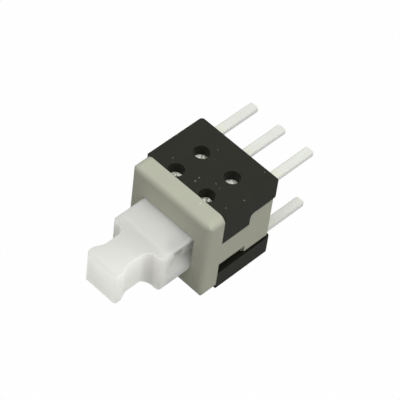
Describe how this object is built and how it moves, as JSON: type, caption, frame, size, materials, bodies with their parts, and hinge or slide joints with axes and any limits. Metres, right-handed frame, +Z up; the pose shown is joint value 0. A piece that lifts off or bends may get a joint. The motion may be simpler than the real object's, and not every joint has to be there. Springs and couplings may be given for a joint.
{
  "type": "push button switch",
  "caption": "Self-locking push switch: white plunger in a square grey collar, black snap covers, flat pins in two rows.",
  "frame": {"origin": "centre of the body's rear face, which sits on the circuit board, on the axis between the two rows of pins", "axes": "+Y out of the rear face along the pins, -Y the way the plunger points, +Z up as the switch lies on a table, X across the body; travel of the plunger is along +Y"},
  "size_m": [0.007, 0.016, 0.007],
  "materials": {
    "grey_moulding": "satin",
    "black_moulding": "satin",
    "white_moulding": "natural, slightly translucent",
    "plated_brass": "silver plated",
    "contact_sheet": "silver plated spring sheet",
    "spring_wire": "drawn wire"
  },
  "bodies": {
    "case": {"housing": "grey_moulding", "upper_cover": "black_moulding", "lower_cover": "black_moulding", "terminal_upper_left": "plated_brass", "terminal_upper_centre": "plated_brass", "terminal_upper_right": "plated_brass", "terminal_lower_left": "plated_brass", "terminal_lower_centre": "plated_brass", "terminal_lower_right": "plated_brass", "return_spring": "spring_wire", "pin_spring": "spring_wire"},
    "slider": {"plunger": "white_moulding", "upper_clip": "contact_sheet", "lower_clip": "contact_sheet"},
    "pin": {"lock_pin": "spring_wire"}
  },
  "joints": [
    {"name": "plunger_slide", "type": "slide", "parent": "case", "child": "slider", "axis": [0, 1, 0], "range_m": [0, 0.0022], "stiffness_N_per_m": 500, "deforming": ["return_spring"]},
    {"name": "lock_pin_turn", "type": "hinge", "parent": "case", "child": "pin", "pos_m": [0.00259, -0.00155, 0.00032], "axis": [1, 0, 0], "range_deg": [0, 17.1]}
  ]
}
